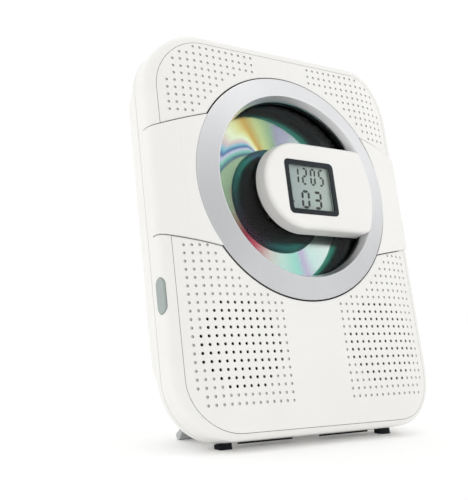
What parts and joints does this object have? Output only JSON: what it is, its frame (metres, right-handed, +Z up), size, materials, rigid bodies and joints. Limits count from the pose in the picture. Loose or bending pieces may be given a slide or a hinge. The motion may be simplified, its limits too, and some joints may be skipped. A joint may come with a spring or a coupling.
{
  "type": "portable cd player",
  "caption": "Upright tabletop disc player with a perforated front, a round window in a full-width swing door, a small display, two speakers and a fold-out rear foot.",
  "frame": {"origin": "centre of the bounding box on the plane that the feet stand on", "axes": "+Z up, -Y towards the listener, +X to the listener's right; the case leans back 13 degrees"},
  "size_m": [0.1824, 0.0918, 0.2271],
  "materials": {
    "white_shell": "satin white moulded plastic",
    "silver": "satin silver",
    "tinted_window": "clear teal tint",
    "black_plastic": "matte black",
    "grey_plastic": "matte grey",
    "button_grey": "translucent grey-green",
    "lcd": "grey-green display",
    "clear": "clear",
    "disc_metal": "iridescent mirror",
    "steel": "bright steel",
    "rubber": "black rubber",
    "board_green": "green laminate",
    "cone_paper": "black pulp",
    "magnet": "grey ferrite",
    "gear_white": "natural acetal",
    "cell_green": "plain printed can",
    "cloth": "black cloth",
    "lens_glass": "coated lens"
  },
  "bodies": {
    "case": {"front_shell": "white_shell", "upper_grille_panel": "white_shell", "lower_grille_panel": "white_shell", "back_shell": "white_shell", "door_hinge_pin": "steel", "disc_deck": "black_plastic", "drive_chassis": "steel", "chassis_grommets": "rubber", "spindle_motor": "steel", "guide_rods": "steel", "sled_motor": "steel", "speaker_cloth": "cloth", "main_board": "board_green", "board_parts": "black_plastic", "battery_box": "black_plastic", "battery_cells": "cell_green", "battery_contacts": "steel", "headphone_jack": "black_plastic", "power_inlet": "black_plastic", "case_screws": "steel", "release_spring": "steel", "key_board": "board_green", "key_switches": "black_plastic", "volume_pot": "grey_plastic", "front_feet": "rubber", "underside_strips": "rubber", "stand_pin": "steel", "left_speaker_basket": "black_plastic", "left_speaker_cone": "cone_paper", "left_speaker_magnet": "magnet", "right_speaker_basket": "black_plastic", "right_speaker_cone": "cone_paper", "right_speaker_magnet": "magnet"},
    "door": {"door_belt": "white_shell", "silver_ring": "silver", "window_frame": "black_plastic", "door_window": "tinted_window", "display_pod": "white_shell", "display_frame": "black_plastic", "display_glass": "lcd", "display_board": "board_green", "display_cover": "clear"},
    "spindle": {"turntable": "black_plastic", "spindle_shaft": "steel", "disc": "disc_metal"},
    "pickup": {"pickup_carriage": "black_plastic", "pickup_lens": "lens_glass", "pickup_rack": "gear_white"},
    "sled_wheel": {"sled_gear": "gear_white"},
    "sled_pinion": {"motor_pinion": "gear_white"},
    "release": {"release_button": "button_grey", "latch_arm": "grey_plastic"},
    "volume": {"volume_wheel": "grey_plastic"},
    "stand": {"rear_stand": "grey_plastic"},
    "battery_cover": {"battery_door": "white_shell"},
    "stop_key": {"stop_key": "grey_plastic"},
    "back_key": {"back_key": "grey_plastic"},
    "play_key": {"play_key": "grey_plastic"},
    "next_key": {"next_key": "grey_plastic"},
    "mode_key": {"mode_key": "grey_plastic"}
  },
  "joints": [
    {"name": "door_hinge", "type": "hinge", "parent": "case", "child": "door", "pos_m": [0.0878, -0.00489, 0.14134], "axis": [0, 0.225, 0.9744], "range_deg": [0, 80]},
    {"name": "disc_spin", "type": "hinge", "parent": "case", "child": "spindle", "pos_m": [-0.0004, -0.01512, 0.1437], "axis": [0, 0.9744, -0.225], "continuous": true},
    {"name": "sled_travel", "type": "slide", "parent": "case", "child": "pickup", "axis": [0, -0.225, -0.9744], "range_m": [0, 0.032]},
    {"name": "sled_gear_turn", "type": "hinge", "parent": "case", "child": "sled_wheel", "pos_m": [-0.02959, -0.02187, 0.11447], "axis": [0, 0.9744, -0.225], "range_deg": [0, 438.5]},
    {"name": "motor_pinion_turn", "type": "hinge", "parent": "case", "child": "sled_pinion", "pos_m": [-0.04294, -0.02187, 0.11447], "axis": [0, 0.9744, -0.225], "range_deg": [-1641, 0]},
    {"name": "release_press", "type": "slide", "parent": "case", "child": "release", "axis": [1, 0, 0], "range_m": [0, 0.0015], "stiffness_N_per_m": 600},
    {"name": "volume_turn", "type": "hinge", "parent": "case", "child": "volume", "pos_m": [0.0812, -0.02907, 0.08329], "axis": [0, 0.9744, -0.225], "range_deg": [0, 270]},
    {"name": "stand_fold", "type": "hinge", "parent": "case", "child": "stand", "pos_m": [-0.0004, 0.00005, 0.01293], "axis": [1, 0, 0], "range_deg": [-140, 0]},
    {"name": "battery_door_hinge", "type": "hinge", "parent": "case", "child": "battery_cover", "pos_m": [-0.0004, 0.00398, 0.02614], "axis": [1, 0, 0], "range_deg": [-100, 0]},
    {"name": "stop_press", "type": "slide", "parent": "case", "child": "stop_key", "axis": [0, -0.225, -0.9744], "range_m": [0, 0.0008], "stiffness_N_per_m": 500},
    {"name": "back_press", "type": "slide", "parent": "case", "child": "back_key", "axis": [0, -0.225, -0.9744], "range_m": [0, 0.0008], "stiffness_N_per_m": 500},
    {"name": "play_press", "type": "slide", "parent": "case", "child": "play_key", "axis": [0, -0.225, -0.9744], "range_m": [0, 0.0008], "stiffness_N_per_m": 500},
    {"name": "next_press", "type": "slide", "parent": "case", "child": "next_key", "axis": [0, -0.225, -0.9744], "range_m": [0, 0.0008], "stiffness_N_per_m": 500},
    {"name": "mode_press", "type": "slide", "parent": "case", "child": "mode_key", "axis": [0, -0.225, -0.9744], "range_m": [0, 0.0008], "stiffness_N_per_m": 500}
  ],
  "couplings": [
    {"joint": "sled_gear_turn", "follows": "sled_travel", "rad_per_m": 238.1},
    {"joint": "motor_pinion_turn", "follows": "sled_travel", "rad_per_m": -892.86}
  ]
}
